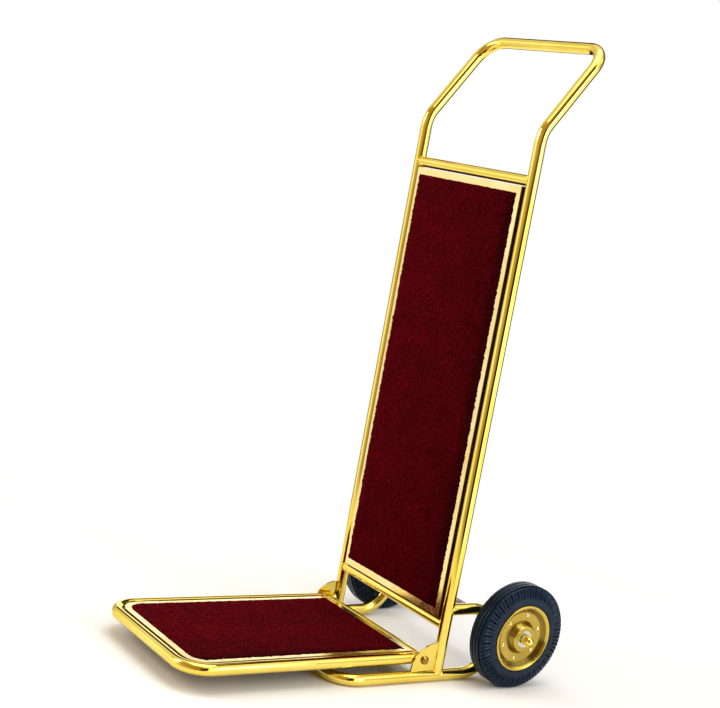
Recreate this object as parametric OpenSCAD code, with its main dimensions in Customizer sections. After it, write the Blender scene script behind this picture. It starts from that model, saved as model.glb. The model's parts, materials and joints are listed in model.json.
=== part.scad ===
// Folding two-wheel luggage cart: a bent-tube frame with a carpeted back panel,
// a carpeted platform that folds up against it, and two disc wheels on one axle.
// Axes: +X to the cart's right, -Y towards the platform's front, +Z up.
// The origin is on the floor, under the centre of the whole cart.

/* [Frame] */
// Height of the whole cart, floor to the top of the handle bar
cart_h = 1202; // [1000:1:1450]
// Distance between the centre lines of the two uprights
frame_w = 340; // [280:1:420]
// Outer diameter of the main tube
tube_d = 22; // [18:0.5:28]
// Wall thickness of every tube
tube_wall = 1.5; // [1:0.1:2.5]
// Diameter of the two crossbars
crossbar_d = 20; // [14:0.5:22]
// Height of the lower crossbar's centre line
lower_crossbar_z = 107; // [90:1:140]
// Drop from the start of the handle bend to the upper crossbar
crossbar_drop = 68; // [30:1:180]

/* [Handle] */
// Lean of the handle arms from vertical
handle_lean = 35; // [10:1:50]
// Length of the arms, corner to corner
handle_reach = 205; // [150:1:260]
// Centre-line radius where the uprights turn into the arms
handle_bend_r = 60; // [40:1:90]
// Centre-line radius of the two top corners
handle_corner_r = 48; // [30:1:70]

/* [Base] */
// Distance from the uprights to the front bar of the base
base_front = 222; // [170:1:280]
// Centre-line radius of the base's front corners
base_corner_r = 50; // [35:1:70]
// Centre-line radius of the rear loops
loop_r = 63.5; // [50:0.5:80]
// Distance from the uprights to the loops' centres
loop_setback = 58; // [45:1:80]

/* [Platform] */
// Length of the platform, from its pivot to its front bar
platform_len = 486; // [380:1:600]
// Free height between the base tubes and the platform tubes
platform_lift = 9.5; // [8:0.5:20]
// Centre-line radius of the platform's front corners
platform_corner_r = 50; // [35:1:70]
// Distance from the uprights to the pivot
pivot_setback = 36; // [34:1:50]
// Diameter of the bar across the platform's rear
rear_bar_d = 18; // [16:0.5:20]
// Diameter of the pivot bolts
pivot_d = 8; // [6:0.5:10]
// Radius of the quarter-round hinge plates
hinge_plate_r = 52; // [45:1:60]

/* [Panels] */
// Thickness of both boards
board_t = 12; // [8:1:15]
// Thickness of the carpet
carpet_t = 3; // [2:0.5:5]
// Width of the trim on the back panel
back_trim_w = 14; // [10:1:20]
// Width of the trim on the platform
platform_trim_w = 13; // [10:1:20]
// Thickness of the trim's side leg
trim_leg_t = 1.5; // [1:0.5:2.5]

/* [Wheels] */
// Outer diameter of the tyres
wheel_d = 200; // [170:1:240]
// Width of the tyres
tyre_w = 43; // [36:1:52]
// Diameter over the rim lips
rim_d = 127; // [118:1:132]
// Diameter of the axle
axle_d = 12; // [10:0.5:14]
// Gap between the uprights and the tyres
wheel_gap = 9.5; // [7:0.5:20]
// Rivets that join the two halves of each wheel
rivet_count = 6; // [4:1:8]

/* [Hidden] */
$fn = 96;

// Clearances
fit = 0.05;          // radial, round pieces that turn or slide in each other
screw_fit = 0.1;     // radial, screws in their holes
side_gap = 0.2;      // axial, between pieces that turn against each other
panel_gap = 1;       // between the platform's panel and its tubes
back_side_gap = 3;   // between the back panel and the uprights
back_end_gap = 1.5;  // between the back panel and the crossbars
buffer_gap = 0.3;    // between the stop buffers and the platform's board
past = 5;            // how far a cutter runs past what it cuts

// Main tube and frame
tube_r = tube_d / 2;
upright_x = tenth(frame_w / 2);
base_z = tube_r;
arm_l = tenth(handle_reach - handle_bend_r * tan(handle_lean / 2));
bend_z = tenth(cart_h - tube_r - arm_l * cos(handle_lean) - handle_bend_r * sin(handle_lean));
crossbar_r = crossbar_d / 2;
upper_crossbar_z = bend_z - crossbar_drop;
loop_top_z = base_z + 2 * loop_r;
loop_rear_y = loop_setback + loop_r;

// Wheels and axle
wheel_r = wheel_d / 2;
tyre_u = tyre_w / 2;
wheel_x = upright_x + tube_r + wheel_gap + tyre_u;
axle_r = axle_d / 2;
boss_r = axle_r + 6;
loop_mid_z = base_z + loop_r;
axle_z = wheel_r;
axle_y = loop_setback + boss_r + sqrt(pow(loop_r + tube_r, 2) - pow(axle_z - loop_mid_z, 2));
boss_half = 14;
rim_r = rim_d / 2;
lip_u = tyre_u + 1.3;
lip_t = 3;
bead_u = lip_u - lip_t;
bead_r = rim_r - 5.4;
disc_u = lip_u - 9.8;
disc_t = 2.5;
disc_edge_r = rim_r - 14.5;
hub_face_u = tyre_u + 4;
hub_face_r = 24;
hub_foot_r = 32;
hub_r = 20;
hub_bore_r = 14;
bearing_r = 16;
bearing_w = 10;
bearing_u = hub_face_u - bearing_w;
cone_r = axle_r + 3;
shield_r = cone_r + 3.6;
rivet_r = 2;
rivet_head_r = 3.6;
rivet_head_h = 1.8;
rivet_circle_r = (hub_foot_r + disc_edge_r) / 2 + 1.5;
rivet_start = 50;
axle_washer_r = 11;
axle_washer_t = 1.5;
nut_r = 11;
nut_h = 9;
nut_dome_r = 9;
axle_end_x = wheel_x + hub_face_u + axle_washer_t + nut_h;

// Pivot and hinge plates
platform_z = tube_d + platform_lift + tube_r;
pivot_r = pivot_d / 2;
pivot_washer_t = 1;
pivot_washer_r = pivot_r + 4;
plate_t = 3;
plate_x = upright_x;
platform_x = plate_x - pivot_washer_t - tube_r;
bolt_head_r = pivot_r + 4;
bolt_head_h = 5;
plug_len = 25;
side_end = 14;       // how far the side tubes run past the pivot
rear_bar_r = rear_bar_d / 2;
front_bar_y = -pivot_setback - platform_len;

// The whole cart is shifted so that the origin is under its middle
cart_y = -(front_bar_y - tube_r + axle_y + wheel_r) / 2;

// Back panel
back_face_y = -tube_r;
back_w = 2 * (upright_x - tube_r - back_side_gap);
back_bottom = lower_crossbar_z + crossbar_r + back_end_gap;
back_top = upper_crossbar_z - crossbar_r - back_end_gap;
back_h = back_top - back_bottom;

// Platform panel
panel_drop = 2;      // how far the carpet lies below the tubes' top
deck_z = platform_z + tube_r - panel_drop;
board_bottom_z = deck_z - carpet_t - board_t;
deck_w = 2 * (platform_x - tube_r - panel_gap);
deck_front_y = front_bar_y + tube_r + panel_gap;
deck_rear_y = -pivot_setback - rear_bar_r - panel_gap;
deck_l = deck_rear_y - deck_front_y;
deck_corner_r = platform_corner_r - tube_r - panel_gap;

// Lugs, screws and buffers
lug_t = 3;
lug_w = 24;
lug_reach = 16;      // how far a lug runs under its board
lug_count = 3;
screw_r = 2;
screw_head_r = 4;
screw_head_h = 2;
screw_depth = 8;
buffer_r = 11;
buffer_inset = 25;   // from the base's front bends to the stop buffers
buffer_x = upright_x - base_corner_r - buffer_inset;

// ---- Helpers ----

function tenth(x) = round(10 * x) / 10;

function unit(v) = v / norm(v);

function bend_reach(a, b, c, r) = r * tan(acos(unit(b - a) * unit(c - b)) / 2);

// Disc of radius r, or a ring where a wall is given
module section(r, wall) {
    difference() {
        circle(r = r);
        if (wall > 0) circle(r = r - wall);
    }
}

// Round rod, or a tube where a wall is given, from point a to point b
module rod(a, b, r, wall = 0) {
    d = b - a;
    translate(a)
        rotate([0, acos(d.z / norm(d)), atan2(d.y, d.x)])
            linear_extrude(norm(d)) section(r, wall);
}

// Round bar along X, centred on the point at
module bar_x(at, half, r) {
    rod(at - [half, 0, 0], at + [half, 0, 0], r);
}

// Round bend at corner b, on the way from a to c
module bend(a, b, c, bend_r, r, wall) {
    u = unit(b - a);
    v = unit(c - b);
    n = unit(v - u * (u * v));
    w = cross(u, n);
    m = b - u * bend_reach(a, b, c, bend_r) + n * bend_r;
    multmatrix([
        [-n.x, u.x, w.x, m.x],
        [-n.y, u.y, w.y, m.y],
        [-n.z, u.z, w.z, m.z],
        [0, 0, 0, 1]
    ])
        rotate_extrude(angle = acos(u * v)) translate([bend_r, 0]) section(r, wall);
}

// Bar of radius r, or a tube where a wall is given, along points, with each corner i
// turned at the centre-line radius bends[i]
module bent_bar(points, bends, r, wall = 0) {
    last = len(points) - 1;
    for (i = [1:last - 1])
        bend(points[i - 1], points[i], points[i + 1], bends[i], r, wall);
    for (i = [0:last - 1]) {
        d = unit(points[i + 1] - points[i]);
        start = i == 0 ? 0 : bend_reach(points[i - 1], points[i], points[i + 1], bends[i]);
        stop = i == last - 1 ? 0
            : bend_reach(points[i], points[i + 1], points[i + 2], bends[i + 1]);
        if (norm(points[i + 1] - points[i]) - start - stop > 0.01)
            rod(points[i] + d * start, points[i + 1] - d * stop, r, wall);
    }
}

module both_sides() {
    for (s = [0, 1]) mirror([s, 0, 0]) children();
}

// Puts a piece that is modelled about the uprights into the cart's frame
module place() {
    translate([0, cart_y, 0]) children();
}

// ---- Routes of the bent tubes ----

base_route = [
    [-upright_x, 0, loop_top_z], [-upright_x, loop_rear_y, loop_top_z],
    [-upright_x, loop_rear_y, base_z], [-upright_x, -base_front, base_z],
    [upright_x, -base_front, base_z], [upright_x, loop_rear_y, base_z],
    [upright_x, loop_rear_y, loop_top_z], [upright_x, 0, loop_top_z]
];
base_bends = [0, loop_r, loop_r, base_corner_r, base_corner_r, loop_r, loop_r, 0];

side_rear_y = -pivot_setback + side_end;
platform_route = [
    [-platform_x, side_rear_y, platform_z], [-platform_x, front_bar_y, platform_z],
    [platform_x, front_bar_y, platform_z], [platform_x, side_rear_y, platform_z]
];
platform_bends = [0, platform_corner_r, platform_corner_r, 0];

// ---- Frame ----

// The solid volume of both uprights, used to cope what is welded to them
module upright_bars() {
    both_sides() rod([upright_x, 0, base_z], [upright_x, 0, bend_z], tube_r);
}

// The solid volume of the base's side tubes
module base_side_bars() {
    both_sides()
        rod([upright_x, -base_front + base_corner_r, base_z],
            [upright_x, loop_setback, base_z], tube_r);
}

// The handle's own plane: from the centre of the uprights' bend, leaning back
module lean_back() {
    translate([0, handle_bend_r, bend_z]) rotate([-handle_lean, 0, 0]) children();
}

// Upright with the bend at its top, cut off square where the handle bow starts
module upright(side) {
    color("gold") place() mirror([side < 0 ? 1 : 0, 0, 0]) difference() {
        union() {
            rod([upright_x, 0, base_z], [upright_x, 0, bend_z], tube_r, tube_wall);
            intersection() {
                translate([upright_x, handle_bend_r, bend_z])
                    multmatrix([[0, 0, -1, 0], [-1, 0, 0, 0], [0, 1, 0, 0], [0, 0, 0, 1]])
                        rotate_extrude(angle = 90) translate([handle_bend_r, 0])
                            section(tube_r, tube_wall);
                lean_back() translate([0, -2 * handle_bend_r, -2 * handle_bend_r])
                    cube([2 * upright_x, 2 * handle_bend_r, 2 * handle_bend_r]);
            }
        }
        base_side_bars();
    }
}

// Leaning arms and top bar, one bent tube
module handle_bow() {
    arm = [upright_x, -handle_bend_r, arm_l];
    route = [
        [-arm.x, arm.y, 0], [-arm.x, arm.y, arm.z], [arm.x, arm.y, arm.z], [arm.x, arm.y, 0]
    ];
    color("gold") place() lean_back()
        bent_bar(route, [0, handle_corner_r, handle_corner_r, 0], tube_r, tube_wall);
}

module base_frame() {
    color("gold") place() difference() {
        bent_bar(base_route, base_bends, tube_r, tube_wall);
        both_sides()
            rod([upright_x, 0, loop_top_z - tube_d], [upright_x, 0, loop_top_z + tube_d], tube_r);
    }
}

module crossbar(z) {
    color("goldenrod") place() difference() {
        bar_x([0, 0, z], upright_x, crossbar_r);
        bar_x([0, 0, z], upright_x + past, crossbar_r - tube_wall);
        upright_bars();
    }
}

module hinge_plate(side) {
    color("goldenrod") place() mirror([side < 0 ? 1 : 0, 0, 0]) difference() {
        intersection() {
            translate([plate_x, -tube_r, tube_d]) rotate([0, 90, 0])
                cylinder(r = hinge_plate_r, h = plate_t);
            translate([plate_x, -tube_r - hinge_plate_r, base_z])
                cube([plate_t, hinge_plate_r + tube_r, tube_r + hinge_plate_r]);
        }
        translate([0, -pivot_setback, platform_z]) rotate([0, 90, 0])
            cylinder(r = pivot_r + fit, h = upright_x + tube_d);
        upright_bars();
        base_side_bars();
    }
}

// Rubber stops on the base's front bar, under the board
module stop_buffers() {
    color("dimgray") place() both_sides() difference() {
        translate([buffer_x, -base_front, base_z])
            cylinder(r = buffer_r, h = board_bottom_z - buffer_gap - base_z);
        bar_x([buffer_x, -base_front, base_z], buffer_r + past, tube_r);
    }
}

// ---- Axle ----

module axle() {
    color("silver") place() bar_x([0, axle_y, axle_z], axle_end_x, axle_r);
}

module axle_boss(side) {
    color("goldenrod") place() mirror([side < 0 ? 1 : 0, 0, 0]) difference() {
        bar_x([upright_x, axle_y, axle_z], boss_half, boss_r);
        bar_x([upright_x, axle_y, axle_z], boss_half + past, axle_r + fit);
        bent_bar([for (i = [4:7]) base_route[i]], [0, loop_r, loop_r, 0], tube_r);
    }
}

// Ring on the axle from x0 to x1, on both sides
module axle_rings(x0, x1, outer_r) {
    place() both_sides() translate([x0, axle_y, axle_z]) rotate([0, 90, 0])
        difference() {
            cylinder(r = outer_r, h = x1 - x0);
            translate([0, 0, -past]) cylinder(r = axle_r + fit, h = x1 - x0 + 2 * past);
        }
}

module axle_spacers() {
    color("silver") {
        axle_rings(upright_x + boss_half, wheel_x - hub_face_u, cone_r);
        axle_rings(wheel_x - bearing_u, wheel_x + bearing_u, cone_r - 1);
    }
}

module bearing_cones() {
    color("gainsboro") {
        axle_rings(wheel_x - hub_face_u, wheel_x - bearing_u, cone_r);
        axle_rings(wheel_x + bearing_u, wheel_x + hub_face_u, cone_r);
    }
}

module axle_washers() {
    color("silver")
        axle_rings(wheel_x + hub_face_u, wheel_x + hub_face_u + axle_washer_t, cone_r);
}

module axle_nuts() {
    color("gold") place() both_sides()
        translate([wheel_x + hub_face_u + axle_washer_t, axle_y, axle_z]) rotate([0, 90, 0])
            difference() {
                union() {
                    cylinder(r = nut_r, h = nut_h, $fn = 6);
                    cylinder(r = nut_dome_r, h = nut_h + 1);
                    translate([0, 0, nut_h + 1]) sphere(r = nut_dome_r);
                }
                translate([0, 0, -past]) cylinder(r = axle_r + fit, h = nut_h + past + fit);
            }
}

// ---- Wheels, modelled about +Z pointing outwards, with z = 0 in the tyre's middle ----

module wheel_place(side) {
    place() translate([side * wheel_x, axle_y, axle_z]) rotate([0, side * 90, 0]) children();
}

tyre_half = [
    [bead_r, bead_u], [rim_r - 1, bead_u], [rim_r + 1.5, bead_u + 0.1],
    [rim_r + 3, tyre_u], [wheel_r - 20, tyre_u], [wheel_r - 8, tyre_u - 1.5],
    [wheel_r - 3, tyre_u - 4], [wheel_r - 0.5, tyre_u - 8.5], [wheel_r, tyre_u - 12.5]
];
groove_u = 5;        // tread grooves lie this far either side of the middle
groove_half = 1.2;
groove_depth = 2.5;

module tyre(side) {
    mirrored = [for (i = [len(tyre_half) - 1:-1:0]) [tyre_half[i].x, -tyre_half[i].y]];
    color([0.12, 0.13, 0.17]) wheel_place(side) difference() {
        rotate_extrude() polygon(concat(tyre_half, mirrored));
        for (u = [-groove_u, groove_u]) translate([0, 0, u - groove_half])
            difference() {
                cylinder(r = wheel_r + past, h = 2 * groove_half);
                translate([0, 0, -past])
                    cylinder(r = wheel_r - groove_depth, h = 2 * groove_half + 2 * past);
            }
    }
}

// One half of the wheel: hub, dished disc, lip and half of the tyre's seat
rim_half = [
    [hub_bore_r, 0], [hub_bore_r, bearing_u], [bearing_r, bearing_u], [bearing_r, hub_face_u],
    [hub_face_r, hub_face_u], [hub_face_r + 1, hub_face_u - 0.7], [hub_foot_r, disc_u],
    [disc_edge_r, disc_u], [rim_r - 4, lip_u - 0.6], [rim_r - 3, lip_u], [rim_r - 1, lip_u],
    [rim_r, lip_u - 0.8], [rim_r, bead_u + 0.8], [rim_r - 1, bead_u], [bead_r, bead_u],
    [bead_r, 0], [bead_r - disc_t, 0], [bead_r - disc_t, lip_u - 5.8],
    [disc_edge_r - 1, disc_u - disc_t], [hub_r, disc_u - disc_t], [hub_r, 0]
];

module rim(side, inner) {
    color("gold") wheel_place(side) mirror([0, 0, inner]) difference() {
        rotate_extrude() polygon(rim_half);
        at_rivets() cylinder(r = rivet_r + screw_fit, h = hub_face_u);
    }
}

module at_rivets() {
    for (i = [0:rivet_count - 1])
        rotate([0, 0, rivet_start + i * 360 / rivet_count])
            translate([rivet_circle_r, 0, 0]) children();
}

module rivets(side) {
    color("khaki") wheel_place(side) at_rivets() {
        translate([0, 0, -disc_u]) cylinder(r = rivet_r, h = 2 * disc_u);
        for (s = [0, 1]) mirror([0, 0, s]) translate([0, 0, disc_u]) rotate_extrude()
            polygon([
                [0, 0], [rivet_head_r, 0], [rivet_head_r * 0.92, rivet_head_h * 0.5],
                [rivet_head_r * 0.6, rivet_head_h * 0.9], [0, rivet_head_h]
            ]);
    }
}

module bearing_cups(side) {
    color("gainsboro") wheel_place(side) for (s = [0, 1]) mirror([0, 0, s])
        rotate_extrude() polygon([
            [bearing_r, bearing_u], [bearing_r, hub_face_u], [shield_r, hub_face_u],
            [shield_r, hub_face_u - 0.5], [cone_r + fit, hub_face_u - 0.5],
            [cone_r + fit, hub_face_u - 1.7], [shield_r, hub_face_u - 1.7],
            [shield_r, bearing_u]
        ]);
}

// ---- Panels, modelled flat: width on X, length on Y from 0, face at z = 0, body below ----

// Rectangle with its two corners at y = 0 rounded by r
module panel_outline(w, l, r) {
    if (r > 0) {
        translate([-w / 2, r]) square([w, l - r]);
        translate([-w / 2 + r, 0]) square([w - 2 * r, l]);
        for (s = [-1, 1]) translate([s * (w / 2 - r), r]) circle(r = r);
    } else translate([-w / 2, 0]) square([w, l]);
}

// Outline drawn in by d on every side
module panel_inset(w, l, r, d) {
    translate([0, d]) panel_outline(w - 2 * d, l - 2 * d, max(r - d, 0));
}

module panel_board(w, l, r) {
    translate([0, 0, -carpet_t - board_t]) linear_extrude(board_t)
        panel_inset(w, l, r, trim_leg_t);
}

module panel_carpet(w, l, r, trim_w) {
    translate([0, 0, -carpet_t]) linear_extrude(carpet_t) panel_inset(w, l, r, trim_w);
}

// Whole trim: a face strip on the board and a leg down its edge
module panel_trim(w, l, r, trim_w) {
    difference() {
        translate([0, 0, -carpet_t - board_t]) linear_extrude(carpet_t + board_t)
            panel_outline(w, l, r);
        translate([0, 0, -past - carpet_t - board_t])
            linear_extrude(board_t + past) panel_inset(w, l, r, trim_leg_t);
        translate([0, 0, -past]) linear_extrude(2 * past) panel_inset(w, l, r, trim_w);
        translate([0, 0, -carpet_t - past]) linear_extrude(2 * past + carpet_t)
            panel_inset(w, l, r, trim_w);
    }
}

// One mitred strip of the trim: 0 front, 1 right, 2 rear, 3 left
module trim_strip(w, l, r, trim_w, edge) {
    q = max(r, trim_w) + past;
    x = w / 2;
    wedges = [
        [[-x, 0], [x, 0], [x - q, q], [q - x, q]],
        [[x, 0], [x, l], [x - q, l - q], [x - q, q]],
        [[x, l], [-x, l], [q - x, l - q], [x - q, l - q]],
        [[-x, l], [-x, 0], [q - x, q], [q - x, l - q]]
    ];
    intersection() {
        panel_trim(w, l, r, trim_w);
        translate([0, 0, -carpet_t - board_t - past])
            linear_extrude(carpet_t + board_t + 2 * past) polygon(wedges[edge]);
    }
}

// Screw with its head's seat at z = 0, pointing up
module screw() {
    cylinder(r = screw_r, h = lug_t + screw_depth);
    translate([0, 0, -screw_head_h]) difference() {
        cylinder(r = screw_head_r, h = screw_head_h);
        for (a = [0, 90]) rotate([0, 0, a]) translate([-2, -0.4, -past])
            cube([4, 0.8, past + 1]);
    }
}

module screw_hole(depth) {
    translate([0, 0, -past]) cylinder(r = screw_r + screw_fit, h = past + depth);
}

// Positions of the lugs along a panel of length l, under its underside
module at_lugs(w, l) {
    for (s = [0, 1], i = [0:lug_count - 1]) mirror([s, 0, 0])
        translate([w / 2 - lug_reach / 2, l * (i + 0.5) / lug_count, -carpet_t - board_t - lug_t])
            children();
}

module panel_lugs(w, l, out) {
    at_lugs(w, l) difference() {
        translate([-lug_reach / 2, -lug_w / 2, 0]) cube([lug_reach + out, lug_w, lug_t]);
        screw_hole(lug_t + past);
    }
}

// ---- Back panel ----

module back_place() {
    place() translate([0, back_face_y, back_bottom]) rotate([90, 0, 0]) children();
}

module back_board() {
    color("saddlebrown") back_place() difference() {
        panel_board(back_w, back_h, 0);
        at_lugs(back_w, back_h) screw_hole(lug_t + screw_depth + screw_fit);
    }
}

module back_carpet() {
    color([0.4, 0.03, 0.06]) back_place() panel_carpet(back_w, back_h, 0, back_trim_w);
}

module back_trim(edge) {
    color("khaki") back_place() trim_strip(back_w, back_h, 0, back_trim_w, edge);
}

module back_lugs() {
    color("goldenrod") difference() {
        back_place() panel_lugs(back_w, back_h, back_side_gap + tube_r);
        place() upright_bars();
    }
}

module back_screws() {
    color("silver") back_place() at_lugs(back_w, back_h) screw();
}

// ---- Platform ----

module deck_place() {
    place() translate([0, deck_front_y, deck_z]) children();
}

// The solid volume of the platform's side tubes
module platform_side_bars() {
    both_sides() rod([platform_x, side_rear_y + past, platform_z],
        [platform_x, front_bar_y + platform_corner_r, platform_z], tube_r);
}

module platform_frame() {
    color("gold") place() difference() {
        bent_bar(platform_route, platform_bends, tube_r, tube_wall);
        bar_x([0, -pivot_setback, platform_z], platform_x + tube_d, pivot_r + fit);
    }
}

module platform_rear_bar() {
    color("goldenrod") place() difference() {
        bar_x([0, -pivot_setback, platform_z], platform_x, rear_bar_r);
        bar_x([0, -pivot_setback, platform_z], platform_x + past, rear_bar_r - tube_wall);
        platform_side_bars();
    }
}

module platform_board() {
    color("saddlebrown") deck_place() difference() {
        panel_board(deck_w, deck_l, deck_corner_r);
        at_lugs(deck_w, deck_l) screw_hole(lug_t + screw_depth + screw_fit);
    }
}

module platform_carpet() {
    color([0.4, 0.03, 0.06]) deck_place()
        panel_carpet(deck_w, deck_l, deck_corner_r, platform_trim_w);
}

module platform_trim(edge) {
    color("khaki") deck_place()
        trim_strip(deck_w, deck_l, deck_corner_r, platform_trim_w, edge);
}

module platform_lugs() {
    color("goldenrod") difference() {
        deck_place() panel_lugs(deck_w, deck_l, panel_gap + tube_r);
        place() platform_side_bars();
    }
}

module platform_screws() {
    color("silver") deck_place() at_lugs(deck_w, deck_l) screw();
}

// Caps in the rear ends of the side tubes
module platform_end_plugs() {
    color("black") place() both_sides() translate([platform_x, side_rear_y, platform_z])
        rotate([90, 0, 0]) {
            translate([0, 0, -1.5]) cylinder(r = tube_r - 0.5, h = 1.5);
            cylinder(r = tube_r - tube_wall - fit, h = side_end - pivot_r - 2);
        }
}

// Threaded plugs in the ends of the rear bar
module pivot_plugs() {
    color("silver") place() both_sides() difference() {
        translate([platform_x - tube_r - plug_len, -pivot_setback, platform_z])
            rotate([0, 90, 0]) cylinder(r = rear_bar_r - tube_wall - fit, h = plug_len);
        translate([0, -pivot_setback, platform_z]) rotate([0, 90, 0])
            cylinder(r = pivot_r + fit, h = platform_x);
    }
}

module pivot_bolts() {
    head_x = plate_x + plate_t + side_gap;
    color("gold") place() both_sides() {
        rod([platform_x - tube_r - plug_len + 5, -pivot_setback, platform_z],
            [head_x, -pivot_setback, platform_z], pivot_r);
        translate([head_x, -pivot_setback, platform_z]) rotate([0, 90, 0]) rotate_extrude()
            polygon([
                [0, 0], [bolt_head_r, 0], [bolt_head_r, bolt_head_h * 0.35],
                [bolt_head_r * 0.88, bolt_head_h * 0.7], [bolt_head_r * 0.6, bolt_head_h * 0.93],
                [0, bolt_head_h]
            ]);
    }
}

module pivot_washers() {
    color("silver") place() both_sides()
        translate([platform_x + tube_r, -pivot_setback, platform_z]) rotate([0, 90, 0])
            difference() {
                cylinder(r = pivot_washer_r, h = pivot_washer_t - side_gap);
                translate([0, 0, -past])
                    cylinder(r = pivot_r + fit, h = pivot_washer_t + 2 * past);
            }
}

// ---- Nodes ----

upright(1);  // upright_right
upright(-1);  // upright_left
handle_bow();
crossbar(upper_crossbar_z);  // upper_crossbar
crossbar(lower_crossbar_z);  // lower_crossbar
base_frame();
hinge_plate(1);  // hinge_plate_right
hinge_plate(-1);  // hinge_plate_left
stop_buffers();
axle();
axle_boss(1);  // axle_boss_right
axle_boss(-1);  // axle_boss_left
axle_spacers();
axle_washers();
axle_nuts();
bearing_cones();
back_board();
back_carpet();
back_trim(2);  // back_trim_top
back_trim(0);  // back_trim_bottom
back_trim(1);  // back_trim_right
back_trim(3);  // back_trim_left
back_lugs();
back_screws();
platform_frame();
platform_rear_bar();
platform_board();
platform_carpet();
platform_trim(0);  // platform_trim_front
platform_trim(2);  // platform_trim_rear
platform_trim(1);  // platform_trim_right
platform_trim(3);  // platform_trim_left
platform_lugs();
platform_screws();
platform_end_plugs();
pivot_plugs();
pivot_bolts();
pivot_washers();
tyre(1);  // tyre_right
rim(1, 0);  // rim_outer_right
rim(1, 1);  // rim_inner_right
rivets(1);  // rivets_right
bearing_cups(1);  // bearing_cups_right
tyre(-1);  // tyre_left
rim(-1, 0);  // rim_outer_left
rim(-1, 1);  // rim_inner_left
rivets(-1);  // rivets_left
bearing_cups(-1);  // bearing_cups_left
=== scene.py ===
import json
import math

import bpy
import numpy as np
from mathutils import Matrix, Vector


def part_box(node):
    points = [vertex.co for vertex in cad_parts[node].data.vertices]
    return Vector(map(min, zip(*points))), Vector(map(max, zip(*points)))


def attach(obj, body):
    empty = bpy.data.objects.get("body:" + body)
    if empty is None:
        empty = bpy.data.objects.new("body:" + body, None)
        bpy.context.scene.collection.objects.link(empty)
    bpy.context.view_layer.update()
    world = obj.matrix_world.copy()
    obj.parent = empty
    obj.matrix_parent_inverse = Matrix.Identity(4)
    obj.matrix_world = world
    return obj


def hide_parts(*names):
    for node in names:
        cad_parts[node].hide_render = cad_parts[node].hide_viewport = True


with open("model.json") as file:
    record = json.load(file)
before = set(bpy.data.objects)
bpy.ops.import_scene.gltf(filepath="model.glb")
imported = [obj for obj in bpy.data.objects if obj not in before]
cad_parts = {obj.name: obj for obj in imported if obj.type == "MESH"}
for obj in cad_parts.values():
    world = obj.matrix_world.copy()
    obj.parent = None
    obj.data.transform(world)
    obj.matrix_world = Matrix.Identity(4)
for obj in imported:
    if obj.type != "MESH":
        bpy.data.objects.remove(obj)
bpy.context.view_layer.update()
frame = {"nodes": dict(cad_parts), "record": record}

NODES = frame["nodes"]
RNG = np.random.default_rng(7)

# ---- Sizes, in metres ----

PILE_STEP = 0.0024          # grid of the carpets' pile
PILE_LIFT = 0.0003          # from the CAD carpet's face to the foot of the tufts
PILE_PROUD = 0.0007         # how far the pile stands above that
PILE_ROUGH = 0.0008         # height of the tufts
PILE_JITTER = 0.35          # share of a step by which the grid's vertices wander
TUFT_SPREAD = 0.45          # fine noise and clumps, in units of PILE_ROUGH
CLUMP_SPREAD = 2.2
PILE_SHOULDER = 0.003       # width over which the pile rounds off at its edge
PILE_OVERHANG = 0.0012      # how far the pile leans out over the trim
PILE_FRAY = 0.0042          # how far its edge wanders beyond that
END_FRAY_SHARE = 0.35       # share of that wandering at the carpets' two ends
BACK_PILE_SHIFT = 0.0035    # the back carpet was laid this much too far to the left
DECK_CORNER = 0.025         # radius of the platform carpet's two front corners
BOARD_CLEARANCE = 0.0001    # from the pile's flat back to the board
TRIM_FACE = (0.0004, 0.0016)    # depths between which a trim's polish turns to the painted shade of its side legs

TYRE_LUGS = 39
LUG_STEPS = 20              # columns of the mesh along one lug
LUG_DEPTH = 0.0036
LUG_REACH = 0.0215          # from the tread down to where the lugs have their full depth
LUG_FADE = 0.002            # from there down to the plain sidewall
LUG_END = (0.0045, 0.0015)  # below the tread, where the lugs start to fade and where they end
SHOULDER_WIDTH = 0.0075     # how far the shoulder draws in from the sidewall
TREAD_INSET = 0.0095        # from the sidewall to the edge of the tread
TREAD_GROOVES = (0.012, 0.0045)    # places of the grooves on each side of the middle
TREAD_GROOVE_HALF = 0.0011
TREAD_GROOVE_DEPTH = 0.0022
GROOVE_LIP = 0.0002         # rounding at the grooves' edges

WELD_R = 0.0014
WELD_STEPS = 96             # points along a weld bead
WELD_SIDES = 8              # points round it


# ---- Camera and stage ----

CAMERA_PLACE = (2.1718, -1.6012, 0.9343)
CAMERA_TURN = (54.19, 7.70, 10.43)    # yaw, pitch and roll in degrees
CAMERA_LENS = 73.9
SENSOR_WIDTH = 36
FLOOR_R = 1.25              # the floor fades out between these two radii
FLOOR_CLEAR_R = 0.70
FLOOR_SIDES = 96
BACKDROP = 1.0


# ---- Camera ----

def make_camera():
    """Camera at the photo's viewpoint: place, yaw, pitch and roll in the cart's frame."""
    yaw, pitch, roll = (math.radians(a) for a in CAMERA_TURN)
    back = Vector((math.sin(yaw) * math.cos(pitch), -math.cos(yaw) * math.cos(pitch),
                   math.sin(pitch)))
    level = Vector((math.cos(yaw), math.sin(yaw), 0))
    upright = back.cross(level)
    right = level * math.cos(roll) + upright * math.sin(roll)
    up = back.cross(right)
    data = bpy.data.cameras.new("camera")
    data.lens = CAMERA_LENS
    data.sensor_width = SENSOR_WIDTH
    data.sensor_fit = "HORIZONTAL"
    data.clip_end = 100
    camera = bpy.data.objects.new("camera", data)
    bpy.context.scene.collection.objects.link(camera)
    turn = Matrix((right, up, back)).transposed().to_4x4()
    camera.matrix_world = Matrix.Translation(CAMERA_PLACE) @ turn
    bpy.context.scene.camera = camera


# ---- Node helpers ----

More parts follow.
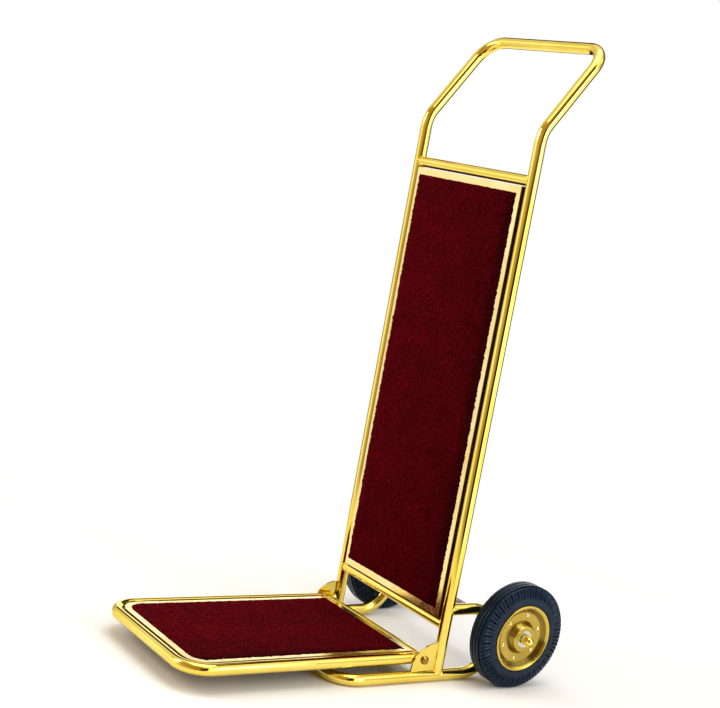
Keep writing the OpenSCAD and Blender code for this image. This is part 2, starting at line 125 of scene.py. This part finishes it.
class Shader:
    """One Principled material, with short calls that add its texture nodes."""

    def __init__(self, name, **sockets):
        self.material = bpy.data.materials.new(name)
        self.material.use_nodes = True
        self.tree = self.material.node_tree
        self.bsdf = self.tree.nodes["Principled BSDF"]
        self.where = self.tree.nodes.new("ShaderNodeTexCoord").outputs["Object"]
        for socket, value in sockets.items():
            self.bsdf.inputs[socket.replace("_", " ")].default_value = value

    def node(self, kind, inputs=(), **settings):
        made = self.tree.nodes.new(kind)
        for key, value in settings.items():
            setattr(made, key, value)
        for key, value in dict(inputs).items():
            if isinstance(value, bpy.types.NodeSocket):
                self.tree.links.new(value, made.inputs[key])
            else:
                made.inputs[key].default_value = value
        return made

    def noise(self, scale, detail=3.0, roughness=0.55, stretch=None, distortion=0.0):
        where = self.where
        if stretch:
            where = self.node("ShaderNodeMapping", {"Vector": where, "Scale": stretch}).outputs[0]
        return self.node("ShaderNodeTexNoise", {
            "Vector": where, "Scale": scale, "Detail": detail, "Roughness": roughness,
            "Distortion": distortion}).outputs["Fac"]

    def ramp(self, fac, stops, smooth=False):
        made = self.node("ShaderNodeValToRGB", {"Fac": fac})
        ramp = made.color_ramp
        ramp.interpolation = "EASE" if smooth else "LINEAR"
        while len(ramp.elements) < len(stops):
            ramp.elements.new(0.5)
        for element, (place, colour) in zip(ramp.elements, stops):
            element.position = place
            grey = isinstance(colour, (int, float))
            element.color = (colour, colour, colour, 1) if grey else (*colour, 1)
        return made.outputs["Color"]

    def mix(self, fac, a, b, blend="MIX"):
        return self.node("ShaderNodeMix", {"Factor": fac, 6: a, 7: b}, data_type="RGBA",
                         blend_type=blend).outputs[2]

    def drive(self, socket, value):
        self.tree.links.new(value, self.bsdf.inputs[socket])

    def bump(self, height, strength, distance):
        previous = self.bsdf.inputs["Normal"].links
        inputs = {"Height": height, "Strength": strength, "Distance": distance}
        if previous:
            inputs["Normal"] = previous[0].from_socket
        self.drive("Normal", self.node("ShaderNodeBump", inputs).outputs["Normal"])


# ---- Materials ----

def polished_gold(name, light, deep, smooth, rough):
    """Mirror-polished gold plate: slow colour drift, faint smears and fine polishing lines."""
    gold = Shader(name, Metallic=1.0)
    drift = gold.noise(5.0, 3.0)
    gold.drive("Base Color", gold.ramp(drift, [(0.30, deep), (0.70, light)], smooth=True))
    smears = gold.noise(38.0, 5.0, 0.62, distortion=0.6)
    gold.drive("Roughness", gold.ramp(smears, [(0.35, smooth), (0.75, rough)]))
    gold.bump(gold.noise(9.0, 1.0), 0.35, 0.00025)
    gold.bump(gold.noise(1500.0, 2.0), 0.05, 0.00006)
    return gold.material


def wheel_gold():
    """Brushed, lacquered gold of the rims, with painted shade in rings where the pressing folds in
    from the lip and a painted highlight on the lip.
    """
    gold = Shader("gold_wheel", Metallic=1.0)
    low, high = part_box("rim_outer_right")
    flat = gold.node("ShaderNodeMapping", {
        "Vector": gold.where, "Location": (0, -(low.y + high.y) / 2, -(low.z + high.z) / 2),
        "Scale": (0, 1, 1)}).outputs[0]
    radius = gold.node("ShaderNodeVectorMath", {0: flat}, operation="LENGTH").outputs["Value"]
    share = gold.node("ShaderNodeMath", {0: radius, 1: (high.z - low.z) / 2},
                      operation="DIVIDE").outputs[0]
    # painted shade in the folded rings and a painted highlight on the lip, by radius, multiplied
    # into the base colour
    painted_ring_shading = gold.ramp(share, [(0.30, 0.80), (0.385, 0.92), (0.40, 0.42), (0.50, 0.50),
                              (0.53, 0.78), (0.74, 0.84), (0.78, 0.42), (0.885, 0.36),
                              (0.905, 1.10), (1.0, 1.15)])
    drift = gold.ramp(gold.noise(14.0, 4.0), [
        (0.3, (0.50, 0.34, 0.055)), (0.7, (0.64, 0.46, 0.085))])
    gold.drive("Base Color", gold.mix(1.0, drift, painted_ring_shading, "MULTIPLY"))
    gold.drive("Roughness", gold.ramp(gold.noise(60.0, 5.0), [(0.3, 0.16), (0.8, 0.32)]))
    gold.bump(gold.noise(700.0, 2.0), 0.08, 0.0001)
    return gold.material


def trim_gold(name, axis, face, sign):
    """Rolled strip: pale polished face, dented a little; its side legs are dull, with painted shade
    darkening them.

    face is where the polished face lies on axis, and sign points from it into the panel.
    """
    gold = Shader(name, Metallic=1.0)
    place = gold.node("ShaderNodeSeparateXYZ", {"Vector": gold.where}).outputs[axis]
    depth = gold.node("ShaderNodeMapRange", {
        "Value": place, "From Min": face + sign * TRIM_FACE[0],
        "From Max": face + sign * TRIM_FACE[1]}).outputs[0]
    drift = gold.noise(12.0, 4.0)
    pale = gold.ramp(drift, [(0.3, (0.92, 0.70, 0.25)), (0.7, (0.98, 0.82, 0.42))])
    # painted shade: the side legs go from the pale face to near-black gold
    gold.drive("Base Color", gold.mix(depth, pale, (0.10, 0.045, 0.012, 1)))
    polish = gold.ramp(gold.noise(55.0, 5.0), [(0.3, 0.12), (0.8, 0.30)])
    gold.drive("Roughness", gold.mix(depth, polish, (0.45, 0.45, 0.45, 1)))
    gold.bump(gold.noise(30.0, 2.0), 0.30, 0.0005)
    return gold.material


def carpet_red():
    """Short cut pile: clumped tufts, shaded areas where the pile leans, and a soft sheen.

    Painted shade darkens it across the back panel's width towards the cart's right side, most near
    the right edge, and a little painted light brightens the left edge; the platform's carpet shares
    it.
    """
    red = Shader("carpet_red", Roughness=0.94)
    tufts = red.noise(260.0, 4.0, 0.75)
    fibres = red.noise(1500.0, 3.0, 0.8)
    leaning = red.noise(14.0, 5.0, 0.62, distortion=0.8)
    base = red.ramp(tufts, [(0.36, (0.012, 0.00002, 0.0003)), (0.50, (0.070, 0.00010, 0.0022)),
                            (0.66, (0.190, 0.0010, 0.0085))])
    shade = red.ramp(leaning, [(0.30, 0.80), (0.70, 1.08)], smooth=True)
    flecks = red.ramp(fibres, [(0.30, 0.55), (0.75, 1.35)])
    base = red.mix(1.0, base, shade, "MULTIPLY")
    low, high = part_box("back_carpet")
    side = red.node("ShaderNodeSeparateXYZ", {"Vector": red.where}).outputs["X"]
    side = red.node("ShaderNodeMapRange", {
        "Value": side, "From Min": low.x, "From Max": high.x}).outputs[0]
    # painted shade across X: a little lighter at the left edge, darker towards the right edge, on
    # both carpets
    painted_right_shade = red.ramp(side, [(0.0, 1.12), (0.55, 1.0), (0.88, 0.82), (0.97, 0.42)], smooth=True)
    base = red.mix(1.0, base, painted_right_shade, "MULTIPLY")
    red.drive("Base Color", red.mix(0.8, base, flecks, "MULTIPLY"))
    red.bsdf.inputs["Sheen Weight"].default_value = 0.02
    red.bsdf.inputs["Sheen Roughness"].default_value = 0.5
    red.bsdf.inputs["Sheen Tint"].default_value = (0.75, 0.10, 0.14, 1)
    red.bsdf.inputs["Specular IOR Level"].default_value = 0.02
    red.bump(tufts, 0.7, 0.0012)
    red.bump(fibres, 0.5, 0.0005)
    return red.material


def tyre_rubber():
    """Blue-black moulded rubber: mould bloom, fine grain and slightly dusty patches."""
    rubber = Shader("tyre_rubber")
    bloom = rubber.noise(16.0, 6.0, 0.6)
    rubber.drive("Base Color", rubber.ramp(bloom, [
        (0.30, (0.0022, 0.0055, 0.014)), (0.60, (0.0048, 0.0120, 0.029)),
        (0.80, (0.013, 0.027, 0.055))]))
    rubber.drive("Roughness", rubber.ramp(rubber.noise(60.0, 5.0), [(0.3, 0.20), (0.8, 0.38)]))
    rubber.bsdf.inputs["Specular IOR Level"].default_value = 0.27
    rubber.bsdf.inputs["Specular Tint"].default_value = (0.55, 0.75, 1.0, 1)
    rubber.bump(rubber.noise(900.0, 3.0), 0.25, 0.0002)
    rubber.bump(rubber.noise(45.0, 2.0), 0.15, 0.0006)
    return rubber.material


def bare_steel(name, dark, light, smooth, rough, stretch):
    """Turned or zinc-plated steel with fine lines drawn along one direction."""
    steel = Shader(name, Metallic=1.0)
    lines = steel.noise(240.0, 4.0, 0.6, stretch=stretch)
    steel.drive("Base Color", steel.ramp(steel.noise(40.0, 4.0), [(0.3, dark), (0.7, light)]))
    steel.drive("Roughness", steel.ramp(lines, [(0.3, smooth), (0.7, rough)]))
    steel.bump(lines, 0.15, 0.00012)
    return steel.material


def fibreboard():
    """Sealed brown board with pressed fibres, drawn out along Z."""
    board = Shader("fibreboard")
    fibres = board.noise(170.0, 6.0, 0.7, stretch=(1.0, 1.0, 0.25))
    board.drive("Base Color", board.ramp(fibres, [
        (0.30, (0.10, 0.052, 0.024)), (0.52, (0.17, 0.095, 0.045)), (0.75, (0.26, 0.16, 0.085))]))
    board.drive("Roughness", board.ramp(board.noise(25.0), [(0.3, 0.48), (0.8, 0.72)]))
    board.bump(fibres, 0.35, 0.0003)
    return board.material


def moulded(name, dark, light, smooth, rough, grain):
    """Moulded black rubber or plastic with a fine grain."""
    skin = Shader(name)
    skin.drive("Base Color", skin.ramp(skin.noise(30.0, 4.0), [(0.3, dark), (0.7, light)]))
    skin.drive("Roughness", skin.ramp(skin.noise(80.0, 4.0), [(0.3, smooth), (0.8, rough)]))
    skin.bump(skin.noise(grain, 2.0), 0.3, 0.0002)
    return skin.material


def make_materials():
    """The material of each of the record's slots."""
    return {
        "gold_tube": polished_gold("gold_tube", (0.92, 0.73, 0.17), (0.81, 0.61, 0.090),
                                   0.035, 0.10),
        "gold_wheel": wheel_gold(),
        "gold_trim": trim_gold("trim_gold_deck", "Z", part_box("platform_carpet")[1].z, -1),
        "carpet": carpet_red(),
        "board": fibreboard(),
        "tyre_rubber": tyre_rubber(),
        "buffer_rubber": moulded("buffer_rubber", (0.010,) * 3, (0.028,) * 3, 0.5, 0.8, 1200.0),
        "plug_plastic": moulded("plug_plastic", (0.008,) * 3, (0.018,) * 3, 0.3, 0.5, 2200.0),
        "zinc_steel": bare_steel("zinc_steel", (0.42, 0.43, 0.44), (0.66, 0.67, 0.68), 0.18, 0.36,
                                 (0.1, 1.0, 1.0)),
        "bearing_steel": bare_steel("bearing_steel", (0.46, 0.50, 0.47), (0.70, 0.74, 0.70),
                                    0.12, 0.26, (1.0, 1.0, 1.0)),
    }


# ---- CAD nodes ----

# Width of the worn edge on the nodes whose names hold each word
BEVELS = {"trim": 0.0006, "plate": 0.0006, "rim": 0.0005, "bolts": 0.0005, "nuts": 0.0006,
          "boss": 0.0005, "washers": 0.0003, "board": 0.0004, "lugs": 0.0004, "cones": 0.0003,
          "buffers": 0.0008}


def dress(materials):
    """Gives each CAD node its slot's material, smooth round faces and small worn edges."""
    back_trim = trim_gold("trim_gold_back", "Y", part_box("back_carpet")[0].y, 1)
    # The pivot bolts get a darkened copy of the polished gold: painted dark reflection.
    bolts = polished_gold("bolt_gold", (0.42, 0.25, 0.05), (0.20, 0.10, 0.02), 0.10, 0.25)
    for part in frame["record"]["subparts"]:
        node = NODES[part["node"]]
        node.data.materials.clear()
        look = materials[part["material_slot"]]
        if part["node"].startswith("back_trim"):
            look = back_trim
        elif part["node"] == "pivot_bolts":
            look = bolts
        node.data.materials.append(look)
        node.data.polygons.foreach_set("use_smooth", [True] * len(node.data.polygons))
        node.data.set_sharp_from_angle(angle=math.radians(32))
        for word, width in BEVELS.items():
            if word in part["node"]:
                bevel = node.modifiers.new("worn_edges", "BEVEL")
                bevel.width = width
                bevel.segments = 2
                bevel.limit_method = "ANGLE"
                bevel.angle_limit = math.radians(40)
                bevel.harden_normals = True


# ---- Pieces ----

def add_mesh(name, vertices, faces, material, body):
    """Smooth-shaded mesh object that rides on body, with its material."""
    mesh = bpy.data.meshes.new(name)
    mesh.from_pydata([tuple(v) for v in vertices], [], faces)
    mesh.validate()
    mesh.polygons.foreach_set("use_smooth", [True] * len(mesh.polygons))
    mesh.materials.append(material)
    piece = bpy.data.objects.new(name, mesh)
    bpy.context.scene.collection.objects.link(piece)
    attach(piece, body)
    return piece


def smooth_step(x, low, high):
    """0 below low and 1 above high, with an eased change between them."""
    t = np.clip((x - low) / (high - low), 0, 1)
    return t * t * (3 - 2 * t)


def ring_faces(rows, columns):
    """Quads of a grid of vertices that closes on itself along its rows and its columns."""
    return [(r * columns + c, r * columns + (c + 1) % columns,
             ((r + 1) % rows) * columns + (c + 1) % columns, ((r + 1) % rows) * columns + c)
            for r in range(rows) for c in range(columns)]


def tuft_heights(shape):
    """Heights of the tufts: fine noise and wider clumps."""
    tufts = RNG.normal(0, TUFT_SPREAD, shape) * PILE_ROUGH
    clumps = RNG.normal(0, 1, shape)
    for _ in range(3):
        clumps = (clumps + np.roll(clumps, 1, 0) + np.roll(clumps, 1, 1)
                  + np.roll(clumps, -1, 0) + np.roll(clumps, -1, 1)) / 5
    return np.clip(tufts + clumps * CLUMP_SPREAD * PILE_ROUGH, -PILE_ROUGH, 1.2 * PILE_ROUGH)


def edge_reach(shape):
    """How far each vertex would lean out over the trim if it lay on the edge."""
    fray = RNG.uniform(0, 1, shape)
    fray = (fray + np.roll(fray, 1, 0) * 0.5 + np.roll(fray, 1, 1) * 0.5) / 2
    return PILE_OVERHANG + fray ** 1.5 * PILE_FRAY


def border(rows, columns):
    """Indices of a grid's outer vertices, once round."""
    return ([c for c in range(columns)]
            + [r * columns + columns - 1 for r in range(1, rows)]
            + [(rows - 1) * columns + c for c in range(columns - 2, -1, -1)]
            + [r * columns for r in range(rows - 2, 0, -1)])


def carpet(name, node, across, along, out, corner, shift, material, body):
    """A carpet panel over its CAD solid: a tufted top, a frayed edge, and a closed back.

    across, along and out are unit vectors: the panel's width, its length (the corners at the
    low end are rounded by corner) and the direction that the pile faces. shift widens the pile
    on the side away from across, over the outermost twelfth of its width.
    """
    low, high = (np.array(v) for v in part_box(node))
    across, along, out = (np.array(v, float) for v in (across, along, out))
    middle, size = (low + high) / 2, high - low
    width, length, thick = (abs(size @ v) for v in (across, along, out))
    columns = int(width / PILE_STEP) + 1
    rows = int(length / PILE_STEP) + 1
    s = np.linspace(-1, 1, columns)[None, :]
    t = np.linspace(0, 1, rows)[:, None]

    # Flat outline: half is each row's half width, and edge each vertex's distance inside it
    rise = np.clip(corner - t * length, 0, corner)
    half = width / 2 - corner + np.sqrt(np.maximum(corner ** 2 - rise ** 2, 0))
    x = s * half
    y = np.repeat((t - 0.5) * length, columns, axis=1)
    edge = np.maximum(np.minimum(half - np.abs(x), np.minimum(t, 1 - t) * length), 0)

    # Pile: rounded off at the edge, uneven inside it, and leaning out over the trim on it
    tufts = tuft_heights(x.shape)
    shoulder = np.sqrt(np.clip(edge / PILE_SHOULDER, 0, 1))
    z = thick / 2 + PILE_LIFT + (PILE_PROUD + tufts) * shoulder
    jitter = PILE_JITTER * PILE_STEP
    x = x + np.where(edge > 0, RNG.uniform(-jitter, jitter, x.shape), 0)
    y = y + np.where(edge > 0, RNG.uniform(-jitter, jitter, y.shape), 0)
    fray = edge_reach(x.shape) * (edge <= 0)
    x = x + np.sign(x) * fray * (half - np.abs(x) <= 1e-6)
    x = x - shift * np.clip(-s * 6 - 5, 0, 1) * (x < 0)
    y = y + np.sign(y) * fray * END_FRAY_SHARE * ((t <= 0) | (t >= 1))
    top = middle + x[..., None] * across + y[..., None] * along + z[..., None] * out
    top = top.reshape(-1, 3)
    faces = [(r * columns + c, r * columns + c + 1, (r + 1) * columns + c + 1, (r + 1) * columns + c)
             for r in range(rows - 1) for c in range(columns - 1)]

    # Flat back, joined to the top by one ring of sides
    rim = border(rows, columns)
    count, first = len(rim), len(top)
    back = []
    for i in rim:
        r, c = divmod(i, columns)
        back.append(middle + s[0, c] * half[r, 0] * across + (t[r, 0] - 0.5) * length * along
                    - (thick / 2 - BOARD_CLEARANCE) * out)
    faces += [(rim[(i + 1) % count], rim[i], first + i, first + (i + 1) % count)
              for i in range(count)]
    faces.append(tuple(first + i for i in reversed(range(count))))
    if np.dot(np.cross(across, along), out) < 0:
        faces = [tuple(reversed(f)) for f in faces]
    piece = add_mesh(name, np.vstack([top, np.array(back)]), faces, material, body)
    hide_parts(node)


def lug_cut(place):
    """Depth of the cut along one pitch: a groove, a rounded lug, a thin split, and a lug again."""
    near = min(place, 1 - place)
    groove = math.exp(-(near / 0.075) ** 2)
    split = 0.60 * math.exp(-((place - 0.5) / 0.045) ** 2)
    crown = 0.42 * abs(math.cos(2 * math.pi * place)) ** 2
    return max(groove, split, crown)


def tyre_profile(radius, half, bead):
    """Half of the tyre's section as (r, u) from the bead to the middle of the tread."""
    points = [(bead - 0.004, half - 0.0017), (bead + 0.0012, half - 0.0016),
              (bead + 0.0020, half - 0.0002), (bead + 0.0035, half)]
    points += [(r, half) for r in np.linspace(bead + 0.006, radius - LUG_REACH - 0.0025, 4)]
    points += [(radius - LUG_REACH - LUG_FADE, half - 0.0004),
               (radius - LUG_REACH - LUG_FADE / 2, half - 0.0004)]
    for a in np.linspace(0, math.pi / 2, 12):
        points.append((radius - LUG_REACH + (LUG_REACH - 0.002) * math.sin(a),
                       half - SHOULDER_WIDTH + SHOULDER_WIDTH * math.cos(a) ** 0.8))
    points.append((radius - 0.0008, half - TREAD_INSET))
    for groove in TREAD_GROOVES:
        w, d, lip = TREAD_GROOVE_HALF, TREAD_GROOVE_DEPTH, GROOVE_LIP
        points += [(radius, groove + w + 1.5 * lip), (radius - lip, groove + w),
                   (radius - d, groove + w * 0.5), (radius - d, groove - w * 0.5),
                   (radius - lip, groove - w), (radius, groove - w - 1.5 * lip)]
    return points


def tyre(side, material):
    """Solid tyre: plain sidewall band, lugs round both shoulders, and a grooved tread."""
    low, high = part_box("tyre_" + side)
    centre = (low + high) / 2
    radius = (high.z - low.z) / 2
    half = (high.x - low.x) / 2
    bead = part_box("rim_outer_" + side)[1].z - centre.z
    right = tyre_profile(radius, half, bead)
    profile = np.array(right + [(r, -u) for r, u in reversed(right)])
    ahead = np.roll(profile, -1, 0) - np.roll(profile, 1, 0)
    normal = np.stack([ahead[:, 1], -ahead[:, 0]], 1)
    normal /= np.linalg.norm(normal, axis=1)[:, None]
    normal *= np.sign((profile[:, 0] - radius * 0.8) * normal[:, 0]
                      + profile[:, 1] * normal[:, 1] + 1e-9)[:, None]
    cut = smooth_step(profile[:, 0], radius - LUG_REACH - LUG_FADE, radius - LUG_REACH)
    cut *= 1 - smooth_step(profile[:, 0], radius - LUG_END[0], radius - LUG_END[1])
    places = np.arange(TYRE_LUGS * LUG_STEPS) / LUG_STEPS
    angles = places * 2 * math.pi / TYRE_LUGS
    depths = np.array([lug_cut(place % 1) for place in places])
    inward = cut[:, None] * depths[None, :] * LUG_DEPTH
    r = profile[:, 0][:, None] - normal[:, 0][:, None] * inward
    u = profile[:, 1][:, None] - normal[:, 1][:, None] * inward
    vertices = np.stack([centre.x + u, centre.y + r * np.cos(angles),
                         centre.z + r * np.sin(angles)], -1).reshape(-1, 3)
    faces = ring_faces(len(profile), len(angles))
    piece = add_mesh("tyre_moulded_" + side, vertices, faces, material,
                     "wheel_" + side)
    piece.data.set_sharp_from_angle(angle=math.radians(38))
    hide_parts("tyre_" + side)


def weld(name, centre, main, branch, main_r, branch_r, material):
    """Polished weld bead where a round branch meets a round main tube at right angles.

    centre is where the axes cross; main and branch are the tubes' unit directions. Where both
    tubes are equally wide, the bead stays a little off the main tube's axis.
    """
    centre, main, branch = Vector(centre), Vector(main), Vector(branch)
    side = main.cross(branch)
    path = []
    for i in range(WELD_STEPS):
        a = 2 * math.pi * i / WELD_STEPS
        out = math.sqrt(max(main_r ** 2 - (branch_r * math.sin(a)) ** 2, (0.12 * main_r) ** 2))
        path.append(centre + branch * out + main * branch_r * math.cos(a)
                    + side * branch_r * math.sin(a))
    vertices = []
    for i, p in enumerate(path):
        forward = (path[(i + 1) % WELD_STEPS] - path[i - 1]).normalized()
        outward = (p - centre - branch * (p - centre).dot(branch)).normalized()
        across = forward.cross(outward).normalized()
        outward = across.cross(forward).normalized()
        swell = WELD_R * (1 + 0.10 * math.sin(i * 2 * math.pi / 6))
        for k in range(WELD_SIDES):
            b = 2 * math.pi * k / WELD_SIDES
            vertices.append(p + (outward * math.cos(b) + across * math.sin(b)) * swell)
    add_mesh(name, vertices, ring_faces(WELD_STEPS, WELD_SIDES), material, "frame")


def welds(material):
    """Beads at the ends of the crossbars, at the feet of the uprights and at the loops' ends."""
    low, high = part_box("upright_right")
    radius = (high.x - low.x) / 2
    x = (low.x + high.x) / 2
    y = low.y + radius
    loop_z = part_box("base_frame")[1].z - radius
    for side, s in (("right", 1), ("left", -1)):
        for bar in ("upper_crossbar", "lower_crossbar"):
            bar_low, bar_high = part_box(bar)
            weld(f"weld_{bar}_{side}", (s * x, y, (bar_low.z + bar_high.z) / 2), (0, 0, 1),
                 (-s, 0, 0), radius, (bar_high.z - bar_low.z) / 2, material)
        weld(f"weld_foot_{side}", (s * x, y, radius), (0, 1, 0), (0, 0, 1), radius, radius,
             material)
        weld(f"weld_loop_{side}", (s * x, y, loop_z), (0, 0, 1), (0, 1, 0), radius, radius,
             material)


# ---- Stage ----

def area_light(name, place, aim, size, power):
    data = bpy.data.lights.new(name, "AREA")
    data.shape = "RECTANGLE"
    data.size, data.size_y = size
    data.energy = power
    light = bpy.data.objects.new(name, data)
    light.location = place
    light.rotation_euler = (Vector(aim) - Vector(place)).to_track_quat("-Z", "Y").to_euler()
    bpy.context.scene.collection.objects.link(light)


def ramp_node(tree, fac, stops):
    """Colour ramp over fac, with stops of (place, level, warmth)."""
    made = tree.nodes.new("ShaderNodeValToRGB")
    tree.links.new(fac, made.inputs["Fac"])
    ramp = made.color_ramp
    while len(ramp.elements) < len(stops):
        ramp.elements.new(0.5)
    for element, (place, level, warmth) in zip(ramp.elements, stops):
        element.position = place
        element.color = (level, level * (1 - 0.36 * warmth), level * (1 - 0.80 * warmth), 1)
    return made.outputs["Color"]


# What the gold mirrors: rows of bands round the room, as (place, level, warmth). Place 0 is the
# cart's left, 0.25 its front, 0.5 its right and 0.75 its back. Upright tubes mirror the two lower
# rows, and leaning and bent tubes the rows above them.
LOW_BANDS = [(0.00, 0.02, 0), (0.025, 0.05, 0), (0.05, 0.95, 0.1), (0.125, 0.95, 0.1),
             (0.15, 1.7, 0), (0.21, 0.80, 0.3), (0.31, 0.50, 0.7), (0.365, 0.40, 1),
             (0.38, 0.010, 0), (0.455, 0.010, 0), (0.475, 1.9, 0), (0.535, 2.3, 0),
             (0.56, 1.40, 0), (0.64, 1.25, 0.1), (0.66, 1.9, 0), (0.69, 1.6, 0),
             (0.705, 0.03, 0), (0.80, 0.02, 0), (0.83, 0.8, 0), (0.87, 0.8, 0),
             (0.89, 0.03, 0), (1.00, 0.02, 0)]
HIGH_BANDS = [(0.00, 0.70, 0.3), (0.05, 0.95, 0.1), (0.12, 1.45, 0), (0.18, 1.35, 0.1),
              (0.24, 0.66, 0.5), (0.34, 0.55, 0.9), (0.42, 0.44, 1), (0.435, 0.010, 0),
              (0.49, 0.010, 0), (0.505, 1.8, 0), (0.56, 1.9, 0), (0.60, 0.85, 0.2),
              (0.68, 0.75, 0.3), (0.72, 0.45, 0.5), (0.75, 0.05, 0), (0.83, 0.05, 0),
              (0.86, 1.5, 0), (0.94, 1.5, 0), (0.965, 0.7, 0.2), (1.00, 0.70, 0.3)]
# Above HIGH_BANDS the wall behind the cart is dark
DARK_WALL = [(0.85, 0.03, 0.6), (0.97, 0.03, 0.6), (1.00, 0.62, 0.4)]
DARKER_BANDS = [stop for stop in HIGH_BANDS if stop[0] < DARK_WALL[0][0]] + DARK_WALL
CEILING_BANDS = [(0.00, 0.95, 0.1), (0.07, 0.85, 0.2), (0.14, 0.52, 0.9), (0.40, 0.46, 1),
                 (0.455, 0.30, 1), (0.465, 0.02, 0), (0.505, 0.02, 0), (0.52, 1.7, 0),
                 (0.66, 1.6, 0), (0.72, 0.45, 0.3), (0.85, 0.03, 0.6), (0.965, 0.03, 0.6),
                 (1.00, 0.95, 0.1)]
VAULT_BANDS = [(0.00, 1.05, 0), (0.12, 0.95, 0.2), (0.17, 0.62, 0.9), (0.44, 0.50, 1),
               (0.47, 1.05, 0), (1.00, 1.05, 0)]

# The rows from low to high: the heights on the unit sphere between which each one takes over
BAND_ROWS = [(-0.50, -0.36, LOW_BANDS), (-0.06, 0.09, HIGH_BANDS), (0.37, 0.41, DARKER_BANDS),
             (0.44, 0.48, CEILING_BANDS), (0.70, 0.74, VAULT_BANDS)]
BELOW_ROWS = (1.2, 1.2, 1.15, 1)
ABOVE_ROWS = (1.05, 1.03, 0.96, 1)
ABOVE_HEIGHTS = (0.90, 0.97)


def make_world():
    """Pale backdrop for the camera; bands of light and shade for what the gold mirrors."""
    world = bpy.data.worlds.new("studio")
    bpy.context.scene.world = world
    world.use_nodes = True
    tree = world.node_tree
    tree.nodes.clear()
    new, link = tree.nodes.new, tree.links.new
    axes = new("ShaderNodeSeparateXYZ")
    link(new("ShaderNodeTexCoord").outputs["Generated"], axes.inputs[0])
    turn = new("ShaderNodeMath")
    turn.operation = "ARCTAN2"
    link(axes.outputs["Y"], turn.inputs[0])
    link(axes.outputs["X"], turn.inputs[1])
    share = new("ShaderNodeMapRange")
    link(turn.outputs[0], share.inputs["Value"])
    share.inputs["From Min"].default_value = -math.pi
    share.inputs["From Max"].default_value = math.pi

    def blend(low, high, below, above):
        """above over below, with the change between two heights on the sphere."""
        rise = new("ShaderNodeMapRange")
        rise.interpolation_type = "SMOOTHSTEP"
        link(axes.outputs["Z"], rise.inputs["Value"])
        rise.inputs["From Min"].default_value = low
        rise.inputs["From Max"].default_value = high
        made = new("ShaderNodeMix")
        made.data_type = "RGBA"
        link(rise.outputs[0], made.inputs[0])
        for socket, value in ((6, below), (7, above)):
            if isinstance(value, tuple):
                made.inputs[socket].default_value = value
            else:
                link(value, made.inputs[socket])
        return made.outputs[2]

    room = BELOW_ROWS
    for low, high, bands in BAND_ROWS:
        room = blend(low, high, room, ramp_node(tree, share.outputs[0], bands))
    room = blend(*ABOVE_HEIGHTS, room, ABOVE_ROWS)
    studio = new("ShaderNodeBackground")
    link(room, studio.inputs["Color"])
    backdrop = new("ShaderNodeBackground")
    backdrop.inputs["Color"].default_value = (BACKDROP, BACKDROP, BACKDROP, 1)
    choose = new("ShaderNodeMixShader")
    link(new("ShaderNodeLightPath").outputs["Is Camera Ray"], choose.inputs[0])
    link(studio.outputs[0], choose.inputs[1])
    link(backdrop.outputs[0], choose.inputs[2])
    out = new("ShaderNodeOutputWorld")
    link(choose.outputs[0], out.inputs["Surface"])


def make_floor():
    """Pale round floor that fades out before its edge."""
    mesh = bpy.data.meshes.new("floor")
    turns = [2 * math.pi * i / FLOOR_SIDES for i in range(FLOOR_SIDES)]
    ring = [(FLOOR_R * math.cos(a), FLOOR_R * math.sin(a), 0) for a in turns]
    mesh.from_pydata(ring, [], [tuple(range(FLOOR_SIDES))])
    floor = bpy.data.objects.new("floor", mesh)
    bpy.context.scene.collection.objects.link(floor)
    pale = Shader("pale_floor", Roughness=0.85)
    pale.drive("Base Color", pale.ramp(pale.noise(1.5, 2.0), [(0.3, 0.90), (0.7, 0.92)]))
    reach = pale.node("ShaderNodeVectorMath", {0: pale.where}, operation="LENGTH").outputs["Value"]
    pale.drive("Alpha", pale.node("ShaderNodeMapRange", {
        "Value": reach, "From Min": FLOOR_R, "From Max": FLOOR_CLEAR_R}).outputs[0])
    mesh.materials.append(pale.material)


def make_stage():
    bpy.context.scene.view_settings.view_transform = "Standard"
    bpy.context.scene.view_settings.look = "None"
    make_floor()
    aim = (0, 0.1, 0.5)
    area_light("key", (-1.6, -2.8, 2.4), aim, (1.2, 1.6), 34)
    area_light("side", (3.0, 1.4, 1.7), aim, (0.8, 1.8), 26)
    area_light("top", (0.2, 0.0, 3.4), aim, (2.4, 2.4), 46)
    make_world()


# ---- Build ----

make_camera()
make_stage()
MATERIALS = make_materials()
dress(MATERIALS)
carpet("back_pile", "back_carpet", (1, 0, 0), (0, 0, 1), (0, -1, 0), 0.0,
       BACK_PILE_SHIFT, MATERIALS["carpet"], "frame")
carpet("platform_pile", "platform_carpet", (1, 0, 0), (0, 1, 0), (0, 0, 1), DECK_CORNER,
       0.0, MATERIALS["carpet"], "platform")
for wheel_side in ("right", "left"):
    tyre(wheel_side, MATERIALS["tyre_rubber"])
welds(MATERIALS["gold_tube"])
